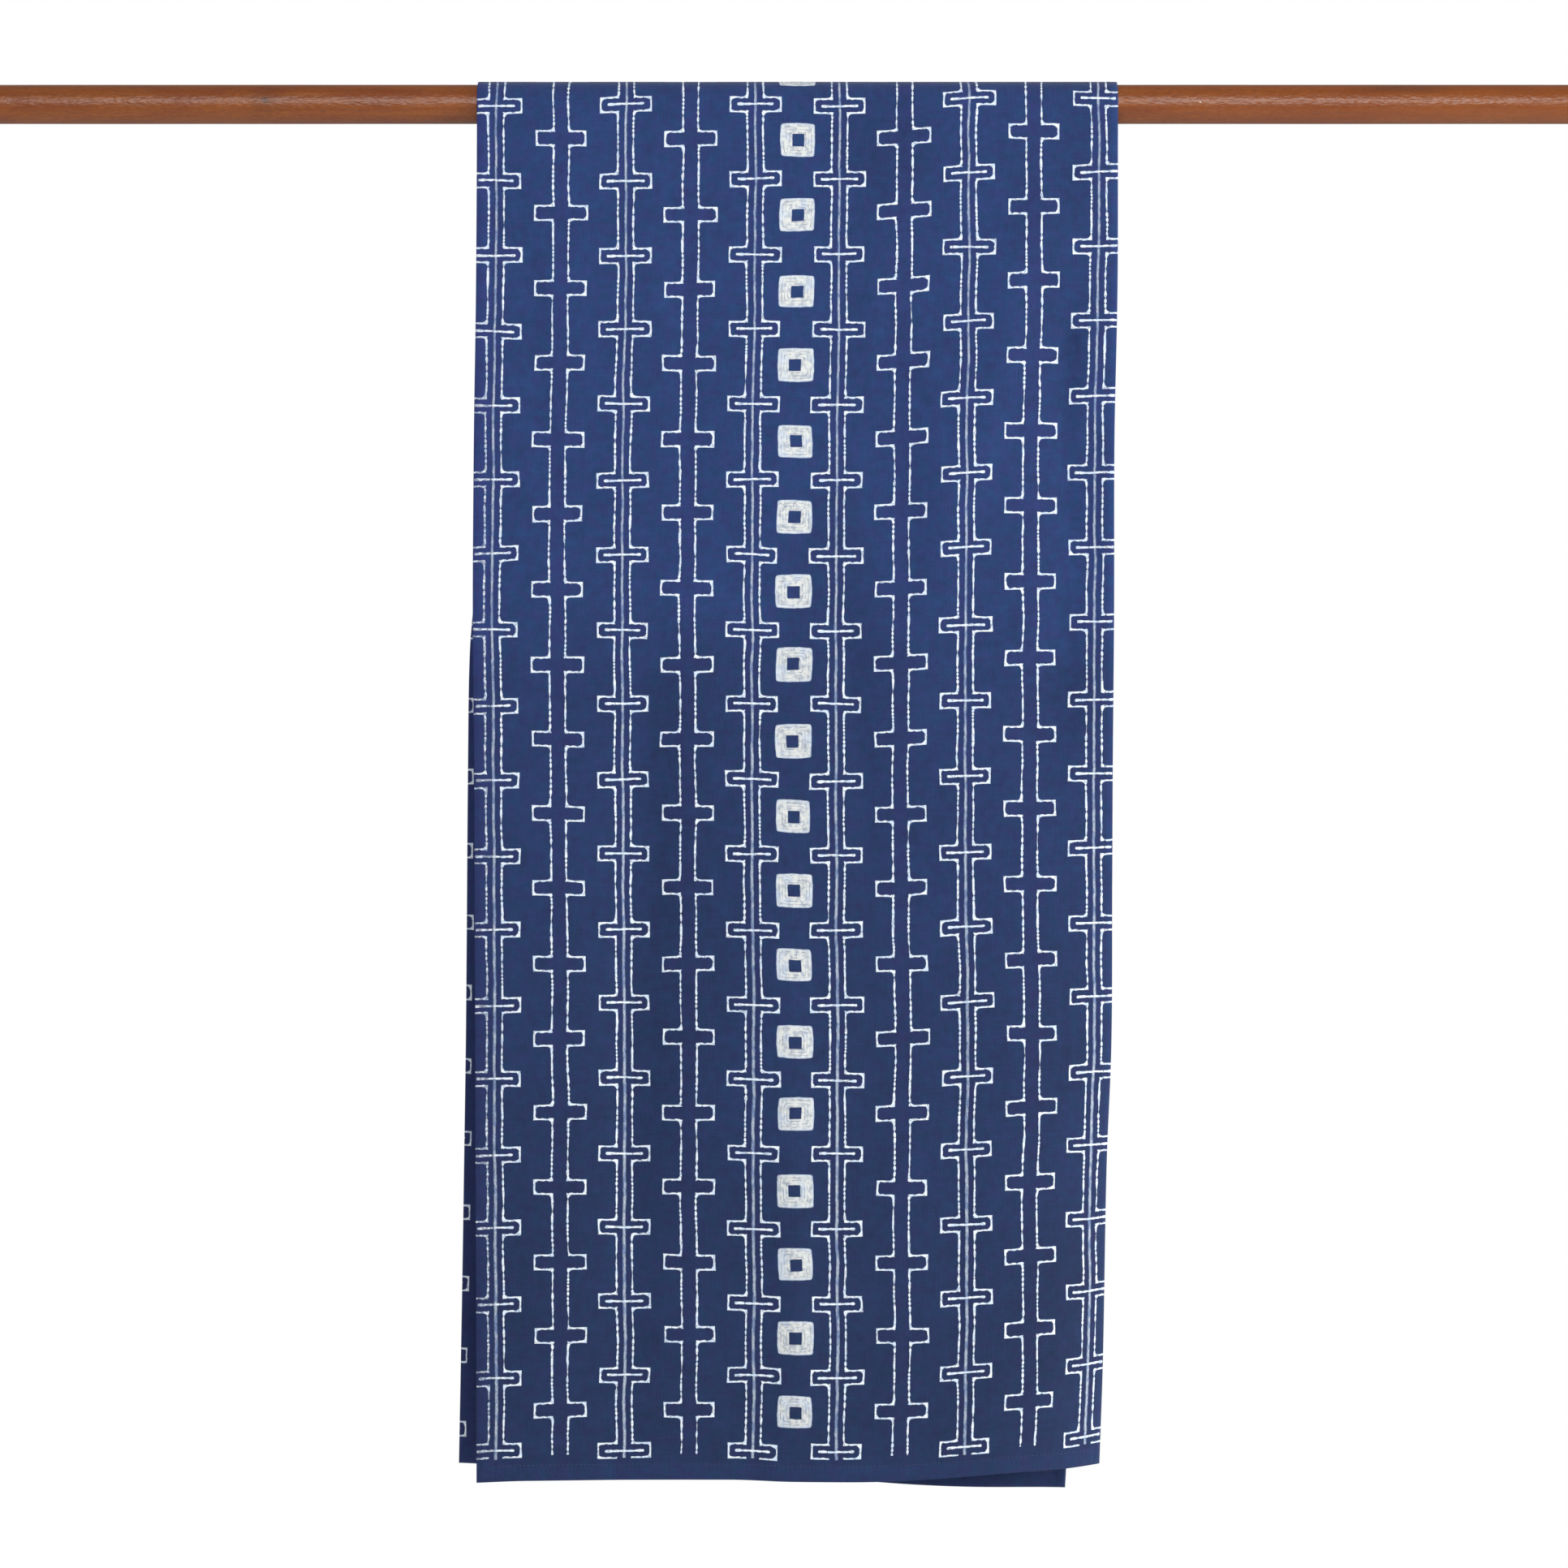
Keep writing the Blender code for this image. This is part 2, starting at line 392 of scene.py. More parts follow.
def panel_row(shares, drop, edges, lifts, longest, depth_at, side):
    """Points of one row of a panel that hangs on the side -1 (front) or 1 (back) of the rod."""
    depths = [depth_at(share, drop) for share in shares]
    left = read(edges, drop, 1)
    right = read(edges, drop, 2)
    row = []
    for x, share, depth in zip(spread(shares, depths, left, right), shares, depths):
        height = -drop * (1 - read(lifts, share, 1) / longest)
        row.append(Vector((x, side * (BEND_RADIUS + depth), height)))
    return row


def bend_row(shares, angle):
    """Points of one row over the rod, at an angle from its front."""
    left = FRONT_EDGES[0][1]
    right = FRONT_EDGES[0][2]
    y = -BEND_RADIUS * cos(angle)
    z = BEND_RADIUS * sin(angle)
    return [Vector((left + (right - left) * share, y, z)) for share in shares]


def hemmed(count, length, first_hem, last_hem):
    """Even steps along a length, with close steps at the folded edges and at each hem's inner edge."""
    start = first_hem + HEM_STEP
    end = length - last_hem - HEM_STEP
    inner = [start + (end - start) * i / count for i in range(count + 1)]
    first = [0.0, FOLD_REACH, first_hem / 2, first_hem]
    last = [length - last_hem, length - last_hem / 2, length - FOLD_REACH, length]
    return first + inner + last


def drops_of(longest):
    """Drops of a panel's rows from its hem up to just below the rod's axis."""
    start = longest - END_HEM - HEM_STEP
    inner = [start * (1 - i / PANEL_ROWS) for i in range(PANEL_ROWS)]
    return [longest, longest - FOLD_REACH, longest - END_HEM / 2, longest - END_HEM, *inner]


class Sheet:
    """The cloth's outer face as rows of points, with the flat place of each row and column."""

    def __init__(self):
        self.us = hemmed(COLUMNS, CLOTH_WIDTH, LEFT_HEM, RIGHT_HEM)
        shares = [u / CLOTH_WIDTH for u in self.us]
        self.vs = []
        self.rows = []
        for drop in drops_of(FRONT_DROP):
            self.vs.append(FRONT_DROP - drop)
            self.rows.append(
                panel_row(shares, drop, FRONT_EDGES, FRONT_LIFT, FRONT_DROP, front_face, -1)
            )
        for i in range(BEND_ROWS + 1):
            angle = pi * i / BEND_ROWS
            self.vs.append(FRONT_DROP + BEND_RADIUS * angle)
            self.rows.append(bend_row(shares, angle))
        for drop in drops_of(BACK_DROP)[::-1]:
            self.vs.append(CLOTH_LENGTH - BACK_DROP + drop)
            self.rows.append(
                panel_row(shares, drop, BACK_EDGES, BACK_LIFT, BACK_DROP, back_face, 1)
            )

    def normal(self, row, column):
        """Outward direction at a point of the grid."""
        last_row = len(self.rows) - 1
        last_column = len(self.us) - 1
        left = self.rows[row][max(column - 1, 0)]
        right = self.rows[row][min(column + 1, last_column)]
        below = self.rows[max(row - 1, 0)][column]
        above = self.rows[min(row + 1, last_row)][column]
        return (right - left).cross(above - below).normalized()

    @staticmethod
    def step_of(values, at):
        """The step of a rising list that holds a value, and the share along that step."""
        low = 0
        high = len(values) - 1
        while high - low > 1:
            middle = (low + high) // 2
            if values[middle] <= at:
                low = middle
            else:
                high = middle
        return low, min(max((at - values[low]) / (values[high] - values[low]), 0.0), 1.0)

    def point(self, u, v):
        """Place on the outer face over a flat place."""
        column, across = self.step_of(self.us, u)
        row, along = self.step_of(self.vs, v)
        low = self.rows[row][column].lerp(self.rows[row][column + 1], across)
        high = self.rows[row + 1][column].lerp(self.rows[row + 1][column + 1], across)
        return low.lerp(high, along)

    def frame_at(self, u, v):
        """Place, outward direction, and the directions of growing u and v."""
        near = 0.0012
        here = self.point(u, v)
        across = (self.point(u + near, v) - self.point(u - near, v)).normalized()
        along = (self.point(u, v + near) - self.point(u, v - near)).normalized()
        return here, across.cross(along).normalized(), across, along


class Value:
    """A socket of a finish's nodes. Arithmetic on it adds Math nodes."""

    def __init__(self, finish, socket):
        self.finish = finish
        self.socket = socket

    def __add__(self, other):
        return self.finish.math("ADD", self, other)

    def __sub__(self, other):
        return self.finish.math("SUBTRACT", self, other)

    def __rsub__(self, other):
        return self.finish.math("SUBTRACT", other, self)

    def __mul__(self, other):
        return self.finish.math("MULTIPLY", self, other)

    def __truediv__(self, other):
        return self.finish.math("DIVIDE", self, other)

    def __pow__(self, other):
        return self.finish.math("POWER", self, other)

    def __mod__(self, other):
        return self.finish.math("MODULO", self, other)

    def __gt__(self, other):
        return self.finish.math("GREATER_THAN", self, other)

    def __abs__(self):
        return self.finish.math("ABSOLUTE", self)

    __radd__ = __add__
    __rmul__ = __mul__


class Finish:
    """A material that is built up from nodes around one Principled shader."""

    def __init__(self, name):
        self.material = bpy.data.materials.new(name)
        self.material.use_nodes = True
        self.tree = self.material.node_tree
        self.shader = self.tree.nodes["Principled BSDF"]

    def feed(self, socket, value):
        """Set a socket to a number or colour, or link a Value to it."""
        if isinstance(value, Value):
            self.tree.links.new(value.socket, socket)
        else:
            socket.default_value = value

    def node(self, kind, settings, inputs, output=0):
        """Add a node: its type, its settings, its sockets' values or links. Gives one of its outputs."""
        made = self.tree.nodes.new("ShaderNode" + kind)
        for key, value in settings.items():
            setattr(made, key, value)
        for key, value in inputs.items():
            self.feed(made.inputs[key], value)
        return Value(self, made.outputs[output])

    def math(self, operation, *values):
        """A Math node of numbers and Values."""
        return self.node("Math", {"operation": operation}, dict(enumerate(values)))

    def larger(self, a, b):
        """The larger of two."""
        return self.math("MAXIMUM", a, b)

    def smaller(self, a, b):
        """The smaller of two."""
        return self.math("MINIMUM", a, b)

    def length(self, a, b):
        """Length of the hypotenuse over two legs."""
        return (a * a + b * b) ** 0.5

    def rise(self, value, low, high):
        """0 at low, 1 at high, smooth between them."""
        names = {"Value": value, "From Min": low, "From Max": high}
        return self.node("MapRange", {"interpolation_type": "SMOOTHSTEP"}, names)

    def inside(self, distance, soft=0.22):
        """1 where a signed distance is below zero, with a soft edge."""
        names = {"Value": distance, "From Min": -soft, "From Max": soft, "To Min": 1.0, "To Max": 0.0}
        return self.node("MapRange", {}, names)

    def join(self, x, y, z=0.0):
        """A vector of three numbers or Values."""
        return self.node("CombineXYZ", {}, {0: x, 1: y, 2: z})

    def split(self, vector):
        """The three parts of a vector or colour."""
        made = self.node("SeparateXYZ", {}, {0: vector}).socket.node
        return [Value(self, socket) for socket in made.outputs]

    def noise(self, vector, scale, detail=1.0, roughness=0.5, flat=True):
        """Soft noise around 0.5."""
        names = {"Vector": vector, "Scale": scale, "Detail": detail, "Roughness": roughness}
        return self.node("TexNoise", {"noise_dimensions": "2D" if flat else "3D"}, names)

    def noises(self, vector, scale, detail=1.0):
        """Three soft noises around 0.5."""
        names = {"Vector": vector, "Scale": scale, "Detail": detail}
        return self.split(self.node("TexNoise", {"noise_dimensions": "2D"}, names, "Color"))

    def draws(self, x, y):
        """Three even random numbers from 0 to 1 for each pair of whole numbers."""
        place = self.join(x, y, 0.5)
        return self.split(self.node("TexWhiteNoise", {"noise_dimensions": "3D"}, {0: place}, "Color"))

    def cracks(self, vector, scale):
        """Distance to the nearest of a net of uneven cracks, in the vector's units."""
        settings = {"voronoi_dimensions": "2D", "feature": "DISTANCE_TO_EDGE"}
        names = {"Vector": vector, "Scale": scale, "Randomness": 1.0}
        return self.node("TexVoronoi", settings, names, "Distance") / scale

    def mix(self, share, low, high):
        """A colour between two."""
        settings = {"data_type": "RGBA", "clamp_factor": True}
        return self.node("Mix", settings, {0: share, 6: low, 7: high}, 2)

    def tint(self, colour, factor):
        """A colour times a number."""
        grey = self.join(factor, factor, factor)
        return self.node("VectorMath", {"operation": "MULTIPLY"}, {0: colour, 1: grey})

    def bump(self, height, distance, strength=1.0):
        """A normal from a height."""
        return self.node("Bump", {}, {"Strength": strength, "Distance": distance, "Height": height})

    def surface(self, **inputs):
        """Feed the Principled shader's sockets, with _ for a space in a name."""
        for key, value in inputs.items():
            self.feed(self.shader.inputs[key.replace("_", " ")], value)
        return self.material


def past_end(v):
    """How far a place lies past its nearer end, in millimetres: below zero on the cloth."""
    half_length = CLOTH_LENGTH * 500
    return abs(v - half_length) - half_length


def drawn_columns(f, x, y, v):
    """The ten upright columns: masks of the outlines, middle lines, strokes and the ground inside."""
    right = x > 0
    away = abs(x)
    number = f.larger(f.math("FLOOR", (away - COLUMN_FIRST) / COLUMN_STEP + 0.5), 0)
    plain = number % 2
    local = away - COLUMN_FIRST - number * COLUMN_STEP
    along = (y - FIRST_BAR) / BAR_PITCH - plain * PLAIN_SHIFT
    row = f.math("FLOOR", along + 0.5)
    up = (along - row) * BAR_PITCH
    first, second, third = f.draws(number + right * 7, row)

    line = number * 2 + right * 20 + (local > 0)
    wander = f.noise(f.join(v * 0.03, line * 7.3), 1.0, 1.0) * 8
    pinch = 1 - abs(f.math("SINE", (v / BEAD_LENGTH + wander) * pi)) ** 0.75
    pinched = f.rise(f.noise(f.join(v * 0.11, line * 5.7 + 90), 1.0, 1.0), 0.22, 0.48)
    bead = 1 - pinch * pinched
    swell = f.noise(f.join(v * 0.06, line * 3.1 + 40), 1.0, 1.0)
    fine = f.noise(f.join(x * 0.3, v * 0.3), 1.0, 1.0) - 0.5
    half = bead * (swell * 0.60 + 0.42) + fine * 0.4
    bar_bead = abs(f.math("SINE", local * 0.62 + first * 20)) ** 0.5
    bar_line = bar_bead * 0.5 + fine * 0.6 + BAR_LINE

    lean = local * (second - 0.5) * 0.035
    bar_up = abs(up + (first - 0.5) * BAR_STRAY + lean)
    side = abs(local)
    past = past_end(v)
    end = f.larger(side - BAR_REACH - (third - 0.5) * BAR_STRETCH, bar_up - BAR_HEIGHT)

    stem = f.larger(side - STEM_OFFSET - half, past + FIRST_BAR - plain * 3.2)
    outer = f.math("SMOOTH_MIN", stem, end, BAR_FILLET)
    real_side = local * (right * 2 - 1)
    corner = f.math("FRACT", third * 3 + (local > 0) * 0.5) * 0.9 + (real_side > 0) * 0.7 + 1.9
    past_side = f.larger(side - BAR_REACH - (third - 0.5) * BAR_STRETCH + bar_line + corner, 0)
    past_top = f.larger(bar_up - BAR_HEIGHT + bar_line + corner, 0)
    inner = f.smaller(side - STEM_OFFSET + half, f.length(past_side, past_top) - corner)
    within_ends = f.inside(past + OUTLINE_END)
    outlines = f.inside(outer) * (1 - f.inside(inner)) * within_ends

    marked = (1 - plain) * within_ends
    specks = f.rise(f.noise(f.join(x * 0.9, v * 0.55), 1.0, 2.0), 0.42, 0.62)
    core = f.inside(side - 0.42 - fine * 0.6) * specks
    band = f.inside(side - 0.76 - fine * 0.6 - (1 - f.rise(v, 200, 800)) * 0.25, 0.3)
    middle = (band * 0.64 + core * 0.36) * f.inside(past + MIDDLE_END)
    long_end = 1 - f.rise(real_side, -10.0, -6.5)
    short_end = f.rise(real_side, 9.0, 11.2)
    thick = long_end * 0.25 + short_end * 0.22 + bar_bead * 0.3 + fine * 0.3 + 0.45
    past_stroke = f.larger(side - STROKE_REACH - (third - 0.5) * 1.6, 0)
    stroke_up = up + (first - 0.5) * BAR_STRAY + (third - 0.5) * 0.9 + lean
    stroke = f.inside(f.length(past_stroke, stroke_up) - thick)
    return outlines, middle * marked, stroke * marked, f.inside(inner)


def drawn_squares(f, x, y, v):
    """The middle column of squares: masks of the white squares, their rims and the brush lines in them."""
    along = (y - FIRST_BAR) / BAR_PITCH - SQUARE_SHIFT
    row = f.math("FLOOR", along + 0.5)
    up = (along - row) * BAR_PITCH
    first, second, third = f.draws(row, 71.0)
    sx = x + (first - 0.5) * 1.2
    sy = up + (second - 0.5) * 2.0
    grown = (third - 0.5) * 0.7 + SQUARE_BULGE
    bulge_x = grown + SQUARE_WIDE - sy * sy * (SQUARE_BULGE / SQUARE_HIGH**2)
    bulge_y = grown + SQUARE_HIGH - sx * sx * (SQUARE_BULGE / SQUARE_WIDE**2)
    outer = f.math("SMOOTH_MAX", abs(sx) - bulge_x, abs(sy) - bulge_y, 2.4)
    hx = abs(sx + (third - 0.5) * 1.6) - HOLE_REACH
    hy = abs(sy + (first - 0.5) * 1.6) - HOLE_REACH
    hole = f.math("SMOOTH_MAX", hx, hy, 0.9)
    ends = f.inside(past_end(v) + SQUARES_END)
    square = f.inside(outer) * (1 - f.inside(hole)) * ends
    ring = f.math("PINGPONG", outer / BRUSH_STEP + 0.1, 0.5) * 2
    return square, f.rise(outer, -1.7, -0.5), 1 - f.rise(ring, 0.0, 0.42)


def painted_light_and_shade_patches(f, u, v):
    """Broad places of painted light and painted shade in the dye colour, for the cloth's folds and curl.
    """
    uneven = 0.0
    for middle_u, middle_v, reach_u, reach_v, amount in PAINTED_LIGHT_AND_SHADE_PATCHES:
        off = f.length((u - middle_u) / reach_u, (v - middle_v) / reach_v)
        uneven = (1 - f.rise(off, 0.2, 1.0)) * amount + uneven
    return uneven


def dyed_cotton(name, wrong_side=False):
    """Plain-woven cotton dyed navy, with the white lines that the resist left."""
    f = Finish(name)
    flat = f.node("UVMap", {"uv_map": "flat"}, {})
    u, v, _ = f.split(flat)
    u = u * 1000
    v = v * 1000
    place = f.join(u, v)

    slow = f.noises(place, 0.024)
    quick = f.noises(place, 0.20, 1.0)
    length = CLOTH_LENGTH * 1000
    drawn_up = f.rise(u, PATTERN_CENTRE + 40, PATTERN_CENTRE + 130) * f.rise(v, 250, 980)
    drawn_up = drawn_up * f.rise(length - v, 250, 980) * 5.5
    half_way = FRONT_DROP * 500
    from_half_way = (f.smaller(v, half_way * 2) - half_way) / half_way
    drawn_down = (1 - from_half_way * from_half_way) * 1.6 - f.rise(v, 1040, 1400) * BACK_SHIFT
    x = u - PATTERN_CENTRE + (slow[0] - 0.5) * 2.2 + (quick[0] - 0.5) * 0.5
    y = v - drawn_up + drawn_down + (slow[1] - 0.5) * 2.0 + (quick[1] - 0.5) * 0.5

    cracks = f.cracks(place, 0.17)
    patches = f.noise(place, 0.045, 1.0)
    broken = (1 - f.rise(cracks, 0.06, 0.34)) * f.rise(quick[2], 0.40, 0.56)
    outlines, middle, stroke, between = drawn_columns(f, x, y, v)
    squares, rim, brush = drawn_squares(f, x, y, v)

    tone = f.noise(place, 0.012, 2.0)
    cloud = f.noise(place, 0.055, 2.0)
    blotch = f.noise(place, 0.16, 3.0, 0.6)
    right_line = (CLOTH_WIDTH - RIGHT_HEM) * 1000
    hem_left = 1 - f.rise(u, LEFT_HEM * 1000 - 1.5, LEFT_HEM * 1000 + 1.0)
    hem_right = f.rise(u, right_line - 1.0, right_line + 1.5)
    hem_end = 1 - f.rise(f.smaller(v, length - v), END_HEM * 1000 - 1.5, END_HEM * 1000 + 1.0)
    # painted light: the hems are painted lighter than the single cloth, for the sheen that their folded
    # edges catch
    hem_painted_light = f.larger(f.larger(hem_left, hem_right), hem_end)
    warp = f.noise(f.join(u * 1.5, v * 0.06), 1.0, 2.0)
    weft = f.noise(f.join(u * 0.05, v * 1.5), 1.0, 2.0)
    # Darker towards the hem below a slanting line, and the white squares greyer there: partly the dye's
    # own tone, partly painted shade for the light that falls off down the cloth
    height = f.smaller(v, length - v) + (f.noise(place, 0.007, 1.0) - 0.5) * 240
    height = height - (1 - f.rise(abs(u - 262), 0, 62)) * 80
    hem_tone_and_painted_shade = 0.55 - f.rise(height, 555, 660) * 0.55 + (1 - f.rise(height, 0, 600)) * 0.45
    blue = f.mix(hem_tone_and_painted_shade, BLUE_UPPER, BLUE_LOWER)
    violet = f.mix(hem_tone_and_painted_shade, VIOLET_UPPER, VIOLET_LOWER)
    violet_share = f.rise(f.noise(place, 0.12, 3.0, 0.6), 0.34, 0.66) * 0.75 + between * 0.35
    # Near the left fold the ground is tinted violet and painted lighter: the lighter part is painted light
    # on the fold edge
    edge = 1 - f.rise(u, 5, 10)
    violet_share = violet_share + edge * 0.5
    # painted light and painted shade of the folds and curl, laid into the colour as broad patches
    uneven = painted_light_and_shade_patches(f, u, v)
    # painted highlight along a crease ridge and painted shade along a crease trough
    painted_crease_light = f.inside(abs(v - CREASE_LIGHT_LINE) - 0.5, 0.9) * f.rise(u, 340, 380)
    painted_crease_shade = f.inside(abs(v - CREASE_SHADE_LINE) - 0.6, 0.9) * (1 - f.rise(u, 95, 130))
    # shade: random tone of the dye and yarns, plus painted light and painted shade from the patches, hems,
    # left fold and creases
    shade = 1 + (tone - 0.5) * 0.20 + (cloud - 0.5) * 0.26 + (blotch - 0.5) * 0.44
    shade = shade + (warp + weft - 1) * 0.24 + hem_painted_light * 0.12 + edge * 0.06 + uneven
    shade = shade + painted_crease_light * 0.12 - painted_crease_shade * 0.12
    navy = f.tint(f.mix(violet_share, blue, violet), shade)

    whiter = f.rise(f.noise(f.join(u * 0.25, v * 0.12), 1.0, 2.0), 0.30, 0.62)
    pale = f.mix(whiter, PALE_BLUE, PALE_WHITE)
    white = f.mix(f.rise(quick[1], 0.40, 0.66), LINE_WHITE, LINE_COOL)
    cloudy = f.mix(f.rise(f.noise(place, 0.26, 2.0), 0.30, 0.62), SQUARE_SHADE, SQUARE_WHITE)
    cloudy = f.mix(rim * 0.55, cloudy, SQUARE_RIM)
    brushed = brush * f.rise(f.noise(place, 0.16, 2.0, 0.6), 0.40, 0.62) * (1 - rim * 0.5)
    crazed = broken * f.rise(patches, 0.56, 0.70)
    cloudy = f.mix(f.rise(f.noise(place, 0.08, 1.0), 0.50, 0.75) * 0.5, cloudy, SQUARE_RIM)
    cloudy = f.mix(brushed * 0.60 + crazed * 0.5, cloudy, SQUARE_LINE)

    colour = f.mix(middle * 0.86, navy, pale)
    worn = (1 - f.rise(u, 12, 15)) * (1 - f.rise(v, 700, 900))
    worn = worn * f.rise(f.noise(place, 0.35, 2.0), 0.35, 0.60)
    drawn = f.larger(outlines, stroke) * (1 - broken * 0.65) * (1 - worn * 0.6)
    colour = f.mix(drawn, colour, white)
    colour = f.mix(squares, colour, f.tint(cloudy, 1 - hem_tone_and_painted_shade * 0.10))
    if wrong_side:
        colour = f.mix(0.16, colour, WRONG_SIDE_TONE)

    yarns = f.math("SINE", u * (2 * pi / YARN_PITCH)) * f.math("SINE", v * (2 * pi / YARN_PITCH))
    seam_left = f.inside(abs(u - (LEFT_HEM - STITCH_INSET) * 1000) - 0.5, 0.6)
    seam_right = f.inside(abs(u - (CLOTH_WIDTH - RIGHT_HEM + STITCH_INSET) * 1000) - 0.5, 0.6)
    seam_ends = f.inside(abs(past_end(v) + (END_HEM - STITCH_INSET) * 1000) - 0.5, 0.6)
    seam = f.larger(f.larger(seam_left, seam_right), seam_ends)
    height = yarns * 0.16 + (warp + weft) * 0.8 + blotch * 0.5 - seam * 0.9
    return f.surface(
        Base_Color=colour,
        Roughness=0.88,
        Specular_IOR_Level=0.25,
        Sheen_Weight=0.18,
        Sheen_Roughness=0.45,
        Normal=f.bump(height, 0.00035, 0.6),
    )


def varnished_wood():
    """Reddish-brown wood with its grain along the rod and a satin varnish."""
    f = Finish("varnished_wood")
    place = f.node("TexCoord", {}, {}, "Object")
    x, y, z = f.split(place)
    drift = f.noise(f.join(x * 5, y * 30, z * 30), 1.0, 2.0, flat=False) - 0.5
    streaks = f.noise(f.join(x * 9, (y + drift * 0.004) * 420, z * 420), 1.0, 3.0, 0.6, flat=False)
    bands = f.noise(f.join(x * 16, y * 60, z * 60), 1.0, 3.0, 0.6, flat=False)
    pores = f.rise(f.noise(f.join(x * 70, y * 1500, z * 1500), 1.0, 1.0, flat=False), 0.62, 0.74)
    speckle = f.noise(f.join(x * 240, y * 560, z * 560), 1.0, 1.0, flat=False)
    knot_off = f.length((x - KNOT_X) * 0.8, z - KNOT_Z)
    knot = (1 - f.rise(knot_off, 0.0008, 0.0030)) * (1 - (y > 0))
    halo = (1 - f.rise(knot_off, 0.002, 0.016)) * (1 - (y > 0))
    nick_off = f.length(x - NICK_X, z - NICK_Z)
    nick = (1 - f.rise(nick_off, 0.0004, 0.0010)) * (1 - (y > 0))
    smudge = (1 - f.rise(abs(x - SMUDGE_X), 0.010, 0.045)) * f.rise(z, 0.004, 0.010)
    warm = f.rise(x, 0.20, 0.55)
    wood = f.mix(streaks * 0.5 + speckle * 0.5, WOOD_DARK, WOOD_LIGHT)
    wood = f.mix(f.rise(bands, 0.40, 0.68) * 0.6, wood, WOOD_RED)
    wood = f.mix(warm * 0.45, wood, WOOD_ORANGE)
    wood = f.mix(pores * 0.25 + halo * 0.25 + smudge * 0.35, wood, WOOD_PORE)
    wood = f.mix(knot * 0.85, wood, WOOD_PORE)
    wood = f.mix(nick * 0.8, wood, WOOD_NICK)
    height = streaks * 0.15 + speckle - pores * 0.2 - nick
    return f.surface(
        Base_Color=wood,
        Roughness=0.36 + (streaks - 0.5) * 0.2 + pores * 0.1,
        Specular_IOR_Level=0.58,
        Normal=f.bump(height, 0.00045, 0.8),
    )


def end_grain():
    """The sawn ends of the rod, with rings and small pores."""
    f = Finish("end_grain")
    place = f.node("TexCoord", {}, {}, "Object")
    _, y, z = f.split(place)
    wander = f.noise(f.join(y * 140, z * 140), 1.0, 2.0) * 0.0022
    off = f.length(y + 0.004, z - 0.003) + wander
    rings = f.math("PINGPONG", off * 900, 1.0)
    pores = f.rise(f.noise(f.join(y * 2600, z * 2600), 1.0, 1.0), 0.60, 0.72)
    wood = f.mix(rings, WOOD_PORE, WOOD_DARK)
    wood = f.mix(pores * 0.5, wood, WOOD_PORE)
    return f.surface(Base_Color=wood, Roughness=0.62, Normal=f.bump(rings - pores, 0.0002, 0.5))


def thread():
    """Navy sewing thread with a slight twist, and painted shade in the twist's grooves."""
    f = Finish("navy_thread")
    place = f.node("TexCoord", {}, {}, "Object")
    x, _, z = f.split(place)
    twist = f.math("SINE", (x + z) * THREAD_TWIST)
    tone = f.noise(place, 300.0, 2.0, flat=False)
    colour = f.mix(tone, THREAD_DARK, THREAD_LIGHT)
    return f.surface(
        # painted shade and light: darker in the twist's grooves and lighter on its ridges, in step with
        # the bump
        Base_Color=f.tint(colour, twist * 0.12 + 1),
        Roughness=0.7,
        Sheen_Weight=0.2,
        Normal=f.bump(twist, 0.0001, 0.4),
    )


def pale_floor():
    """A plain pale finish for the floor."""
    f = Finish("pale_floor")
    return f.surface(Base_Color=FLOOR_COLOUR, Roughness=0.9)


def add_piece(name, bm, *finishes):
    """Turn a bmesh into a named object with its finishes."""
    mesh = bpy.data.meshes.new(name)
    bm.to_mesh(mesh)
    bm.free()
    for finish in finishes:
        mesh.materials.append(finish)
    made = bpy.data.objects.new(name, mesh)
    bpy.context.scene.collection.objects.link(made)
    return made


def hem_weight(sheet, row, column):
    """Share of the full hem thickness at a point of the grid, from 0 on the single cloth to 1."""
    u = sheet.us[column]
    v = sheet.vs[row]
    tiny = 1e-6
    to_edge = min(u, CLOTH_WIDTH - u, v, CLOTH_LENGTH - v)
    in_side_hem = u <= LEFT_HEM + tiny or u >= CLOTH_WIDTH - RIGHT_HEM - tiny
    in_end_hem = v <= END_HEM + tiny or v >= CLOTH_LENGTH - END_HEM - tiny
    if to_edge < tiny:
        return (FOLD_THICKNESS - CLOTH_THICKNESS) / (HEM_THICKNESS - CLOTH_THICKNESS)
    return 1.0 if in_side_hem or in_end_hem else 0.0


def sheet_mesh(sheet):
    """The outer face as a grid with its flat places as a UV map, and the weights of its points."""
    last_column = len(sheet.us) - 1
    last_row = len(sheet.vs) - 1
    bm = bmesh.new()
    bmesh.ops.create_grid(bm, x_segments=last_column, y_segments=last_row, size=1.0)
    flat = bm.loops.layers.uv.new("flat")
    weights = []
    places = {}
    fold_shift = (HEM_THICKNESS - FOLD_THICKNESS) / 2
    for vertex in bm.verts:
        column = floor((vertex.co.x + 1) / 2 * last_column + 0.5)
        row = floor((vertex.co.y + 1) / 2 * last_row + 0.5)
        places[vertex] = (sheet.us[column], sheet.vs[row])
        weights.append(hem_weight(sheet, row, column))
        vertex.co = sheet.rows[row][column]
        if column in (0, last_column) or row in (0, last_row):
            vertex.co = vertex.co - sheet.normal(row, column) * fold_shift
    for face in bm.faces:
        face.smooth = True
        for loop in face.loops:
            loop[flat].uv = places[loop.vert]
    return bm, weights


def apply_modifiers(piece):
    """Make a piece's evaluated mesh its own, with no modifiers left."""
    graph = bpy.context.evaluated_depsgraph_get()
    done = bpy.data.meshes.new_from_object(
        piece.evaluated_get(graph), preserve_all_data_layers=True, depsgraph=graph
    )
    piece.modifiers.clear()
    piece.data = done


